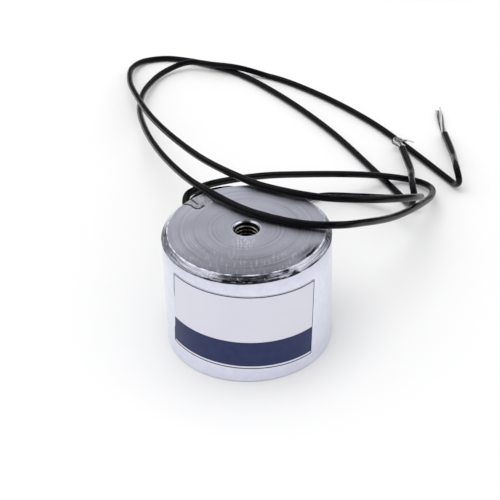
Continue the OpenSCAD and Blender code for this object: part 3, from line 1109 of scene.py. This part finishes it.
def pvc():
    """Black insulation: smooth and a little waxy, with scuffs."""
    material, tree = new_material("pvc_black", (0.003, 0.003, 0.004), 0.2, specular=0.12)
    place = place_of(tree)
    scuff = grain_of(tree, place, 900, 4)
    return drive(
        material,
        colour=tinted(tree, scuff, (0.001, 0.001, 0.002), (0.0045, 0.0038, 0.0065)),
        normal=bumped(tree, grain_of(tree, place, 5200), 0.000006),
        roughness=ranged(tree, scuff, 0.35, 0.7, 0.13, 0.26),
    )


def tinned(name, spot, clean, metallic):
    """Tinned copper strands, a little uneven from the dip."""
    material, tree = new_material(name, clean, 0.18, metallic)
    spots = rising(tree, grain_of(tree, place_of(tree), 5200), 0.40, 0.52)
    return drive(
        material,
        colour=tinted(tree, spots, spot, clean),
        normal=bumped(tree, spots, 0.00001),
        roughness=ranged(tree, spots, 0, 1, 0.34, 0.14),
    )


def cast_resin():
    """Grey casting resin: glossy, lumpy, with pale and dark specks."""
    material, tree = new_material("cast_resin", (0.4, 0.4, 0.44), 0.25)
    place = place_of(tree)
    cloud = cloud_of(tree, place, 1300, 4)
    specks = rising(tree, grain_of(tree, place, 3800, 2), 0.36, 0.52)
    body = tinted(tree, cloud, (0.26, 0.265, 0.31), (0.46, 0.465, 0.52))
    return drive(
        material,
        colour=tinted(tree, specks, (0.20, 0.20, 0.24), body),
        normal=bumped(tree, grain_of(tree, place, 3600), 0.00003),
        roughness=ranged(tree, cloud, 0, 1, 0.28, 0.5),
    )


def label_foil():
    """Silver-white foil of the label: satin, with a fine tooth and faint handling marks."""
    material, tree = new_material("label_foil", (0.72, 0.72, 0.82), 0.42)
    place = place_of(tree)
    cloud = grain_of(tree, place, 240)
    return drive(
        material,
        colour=tinted(tree, cloud, (0.69, 0.69, 0.79), (0.75, 0.75, 0.84)),
        normal=bumped(tree, grain_of(tree, place, 8000), 0.000003),
        roughness=ranged(tree, cloud, *NOISE_SPAN, 0.34, 0.5),
    )


def print_ink(name, thin, full):
    """Printing ink on the label, a little uneven."""
    material, tree = new_material(name, full, 0.4, specular=0.2)
    place = place_of(tree)
    cloud = grain_of(tree, place, 900, 4)
    return drive(
        material,
        colour=tinted(tree, rising(tree, cloud, 0.35, 0.7), full, thin),
        normal=bumped(tree, grain_of(tree, place, 8000), 0.000003),
        roughness=ranged(tree, cloud, *NOISE_SPAN, 0.32, 0.48),
    )


# Spacing of the coil's turns
WIRE_SPACING = 0.00011


def wound_copper():
    """Enamelled copper wire, wound in close turns."""
    material, tree = new_material("enamelled_copper", (0.62, 0.27, 0.12), 0.28, metallic=1.0)
    at = Spot(tree)
    turn = product(tree, at.height, math.pi / WIRE_SPACING)
    ridges = math_of(tree, "ABSOLUTE", math_of(tree, "SINE", turn))
    return drive(
        material,
        colour=tinted(tree, grain_of(tree, at.place, 700), (0.50, 0.19, 0.08), (0.72, 0.34, 0.16)),
        normal=bumped(tree, ridges, 0.00004),
    )


# Plain materials: dark and light colour, roughness, noise scale, height of the grain, and metal
PLAIN = {
    "tin_solder": ((0.52, 0.53, 0.56), (0.70, 0.71, 0.74), (0.2, 0.36), 1500, 0.00001, 1),
    "woven_sleeve": ((0.76, 0.69, 0.45), (0.86, 0.80, 0.58), (0.5, 0.7), 1800, 0.00002, 0),
    "nylon": ((0.80, 0.77, 0.67), (0.87, 0.85, 0.77), (0.4, 0.55), 600, 0.000006, 0),
    "film_tape": ((0.66, 0.46, 0.10), (0.78, 0.58, 0.16), (0.12, 0.25), 500, 0.000004, 0),
    "cast_epoxy": ((0.010, 0.010, 0.011), (0.022, 0.022, 0.024), (0.16, 0.34), 700, 0.00001, 0),
    # The pale grey of the cut ends is a painted highlight on the black insulation
    "pvc_cut_highlight": ((0.20, 0.20, 0.22), (0.42, 0.42, 0.45), (0.4, 0.6), 3000, 0.000006, 0),
    # The near-black of the resin's edge and slit is painted shade
    "resin_edge_shade": ((0.012, 0.012, 0.014), (0.035, 0.035, 0.04), (0.5, 0.7), 1500, 0.00001, 0),
}
# How much finer their grain is than their clouds
GRAIN_FINER = 6


def plain(name):
    """One of the plain materials, with cloudy colour, uneven gloss and a fine grain."""
    dark, light, rough, scale, rise, metallic = PLAIN[name]
    material, tree = new_material(name, light, rough[0], metallic)
    place = place_of(tree)
    cloud = cloud_of(tree, place, scale, 4)
    return drive(
        material,
        colour=tinted(tree, cloud, dark, light),
        normal=bumped(tree, grain_of(tree, place, GRAIN_FINER * scale), rise),
        roughness=ranged(tree, cloud, 0, 1, *rough),
    )


def dress_nodes(plate):
    """Materials of the solids that show as they are."""
    copper, solder, sleeve = wound_copper(), plain("tin_solder"), plain("woven_sleeve")
    wear = {
        "pot_core": plate,
        "bobbin": plain("nylon"),
        "winding": copper,
        "winding_tape": plain("film_tape"),
        "start_tail": copper,
        "finish_tail": copper,
        "solder_joint_1": solder,
        "solder_joint_2": solder,
        "joint_sleeve_1": sleeve,
        "joint_sleeve_2": sleeve,
        "potting_ring": plain("cast_epoxy"),
        "label": label_foil(),
    }
    for name, material in wear.items():
        slots = nodes[name].data.materials
        slots.clear()
        slots.append(material)


# Studio: light from all round, a soft lamp overhead, and a white floor
AMBIENT = 0.82
LAMP_PLACE = (-0.10, -0.05, 0.60)
LAMP_SIZE = 0.45
LAMP_WATTS = 1.05
FLOOR_SIZE = 6.0
FLOOR_COLOUR = (0.97, 0.97, 0.97)
FLOOR_ROUGH = 0.9
# A tent that only gloss shows: its brightness by the sine of the height angle
TENT_R = 1.5
TENT_SEGMENTS = 48
TENT_RINGS = 24
TENT_STEPS = [(0.0, 0.06), (0.14, 0.15), (0.30, 0.52), (0.45, 0.63), (0.66, 0.50), (0.76, 0.32), (1.0, 0.20)]
# Its dark front, the strip at its back, and its right and left panels: brightness, then spans of the way
# from the middle along an axis, with the softness of their ends
BEYOND = 2
TENT_PARTS = [
    (0.04, ("Y", -BEYOND, -0.22, 0.08), ("Z", 0.58, BEYOND, 0.08)),
    (1.9, ("Y", 0.10, BEYOND, 0.05), ("Z", 0.82, 0.95, 0.02)),
    (1.2, ("X", 0.45, BEYOND, 0.05), ("Z", 0.52, 0.84, 0.05)),
    (1.1, ("X", -BEYOND, -0.45, 0.05), ("Z", 0.52, 0.84, 0.05)),
]
# Dark cloth round the part that only gloss shows: how near it comes, its height, brightness and sides
SKIRT_R = 0.085
SKIRT_Z = 0.001
SKIRT_LEVEL = 0.05
SKIRT_SIDES = 48


def make_floor():
    """Plain white floor."""
    half = FLOOR_SIZE / 2
    corners = [(-half, -half, 0), (half, -half, 0), (half, half, 0), (-half, half, 0)]
    material, _ = new_material("floor_white", FLOOR_COLOUR, FLOOR_ROUGH)
    floor = new_object("floor", corners, [(0, 1, 2, 3)], material)


def glowing(name):
    """A material that only glows, its tree, and the socket of its strength."""
    material = bpy.data.materials.new(name)
    material.use_nodes = True
    tree = material.node_tree
    tree.nodes.clear()
    glow = add(tree, "Emission", {"Color": (1, 1, 1, 1)})
    tree.nodes.active = add(tree, "OutputMaterial", {"Surface": glow.outputs[0]})
    return material, tree, glow.inputs["Strength"]


def show_in_gloss_only(thing):
    """Keep a piece of the studio out of everything but reflections."""
    thing.visible_camera = False
    thing.visible_diffuse = False
    thing.visible_shadow = False
    thing.visible_transmission = False


def make_tent():
    """A dome that only reflections see: grey cloth, dark in front, with a bright strip and two panels."""
    bpy.ops.mesh.primitive_uv_sphere_add(segments=TENT_SEGMENTS, ring_count=TENT_RINGS, radius=TENT_R)
    tent = bpy.context.object
    tent.name = "tent"
    material, tree, strength = glowing("tent_cloth")
    way = add(tree, "VectorMath", {0: place_of(tree)}, operation="NORMALIZE").outputs[0]
    split = add(tree, "SeparateXYZ", {"Vector": way})
    level = ramp_of(tree, split.outputs["Z"], [(share, (grey, grey, grey)) for share, grey in TENT_STEPS])
    for part_level, *spans in TENT_PARTS:
        area = product(tree, *(
            plateau(tree, split.outputs[axis], low - soft, low + soft, high - soft, high + soft)
            for axis, low, high, soft in spans
        ))
        level = mixed(tree, area, level, part_level)
    tree.links.new(level, strength)
    tent.data.materials.append(material)
    show_in_gloss_only(tent)


def make_skirt():
    """Dark cloth round the part that keeps the far floor out of reflections."""
    turns = [2 * math.pi * k / SKIRT_SIDES for k in range(SKIRT_SIDES)]
    corners = [(r * math.cos(t), r * math.sin(t), SKIRT_Z) for r in (SKIRT_R, TENT_R) for t in turns]
    faces = [
        (k, SKIRT_SIDES + k, SKIRT_SIDES + (k + 1) % SKIRT_SIDES, (k + 1) % SKIRT_SIDES)
        for k in range(SKIRT_SIDES)
    ]
    material, _, strength = glowing("skirt_cloth")
    strength.default_value = SKIRT_LEVEL
    show_in_gloss_only(new_object("skirt", corners, faces, material))


def make_lamp():
    """One large soft lamp overhead."""
    data = bpy.data.lights.new("softbox", "AREA")
    data.shape = "DISK"
    data.size = LAMP_SIZE
    data.energy = LAMP_WATTS
    lamp = bpy.data.objects.new("softbox", data)
    lamp.location = LAMP_PLACE
    lamp.rotation_euler = (-Vector(LAMP_PLACE)).to_track_quat("-Z", "Y").to_euler()
    lamp.visible_glossy = False
    bpy.context.scene.collection.objects.link(lamp)


def make_world():
    """White to the camera, to gloss and through glass; plain light from all round for the rest."""
    world = bpy.data.worlds.new("studio")
    world.use_nodes = True
    tree = world.node_tree
    background = tree.nodes["Background"]
    background.inputs["Color"].default_value = (1, 1, 1, 1)
    path = add(tree, "LightPath", {})
    seen = math_of(tree, "MAXIMUM", path.outputs["Is Camera Ray"], path.outputs["Is Glossy Ray"])
    seen = math_of(tree, "MAXIMUM", seen, path.outputs["Is Transmission Ray"])
    tree.links.new(mixed(tree, seen, AMBIENT, 1.0), background.inputs["Strength"])
    bpy.context.scene.world = world


make_camera()
jacket, cut_highlight, resin = pvc(), plain("pvc_cut_highlight"), cast_resin()
# Lit and shaded copies of the tin: the white one stands for lit strands, the dark one is painted shade
lit_wire = tinned("tinned_wire", spot=(0.55, 0.55, 0.57), clean=(1.0, 1.0, 1.0), metallic=0.4)
shaded_wire = tinned("tinned_wire_shaded", spot=(0.03, 0.03, 0.035), clean=(0.30, 0.30, 0.32), metallic=0.85)
for number, (side, route, bare, fray) in enumerate([
    (1, LEAD_1_ROUTE, LEAD_1_BARE, LEAD_1_FRAY),
    (-1, LEAD_2_ROUTE, LEAD_2_BARE, LEAD_2_FRAY),
], start=1):
    centreline = lead_path(side, route)
    lead = make_lead(f"lead_{number}_jacket", centreline, jacket, cut_highlight)
    strands = make_strands(f"lead_{number}_strands_bundle", centreline, bare, fray, lit_wire, shaded_wire)
make_thread(thread_steel())
make_resin(resin)
make_run(resin, plain("resin_edge_shade"))
make_label_print(
    print_ink("frame_ink", thin=(0.05, 0.05, 0.07), full=(0.02, 0.02, 0.03)),
    print_ink("band_ink", thin=(0.027, 0.036, 0.110), full=(0.018, 0.027, 0.096)),
)
dress_nodes(nickel())
make_floor()
make_tent()
make_skirt()
make_lamp()
make_world()
bpy.context.scene.view_settings.view_transform = "Standard"
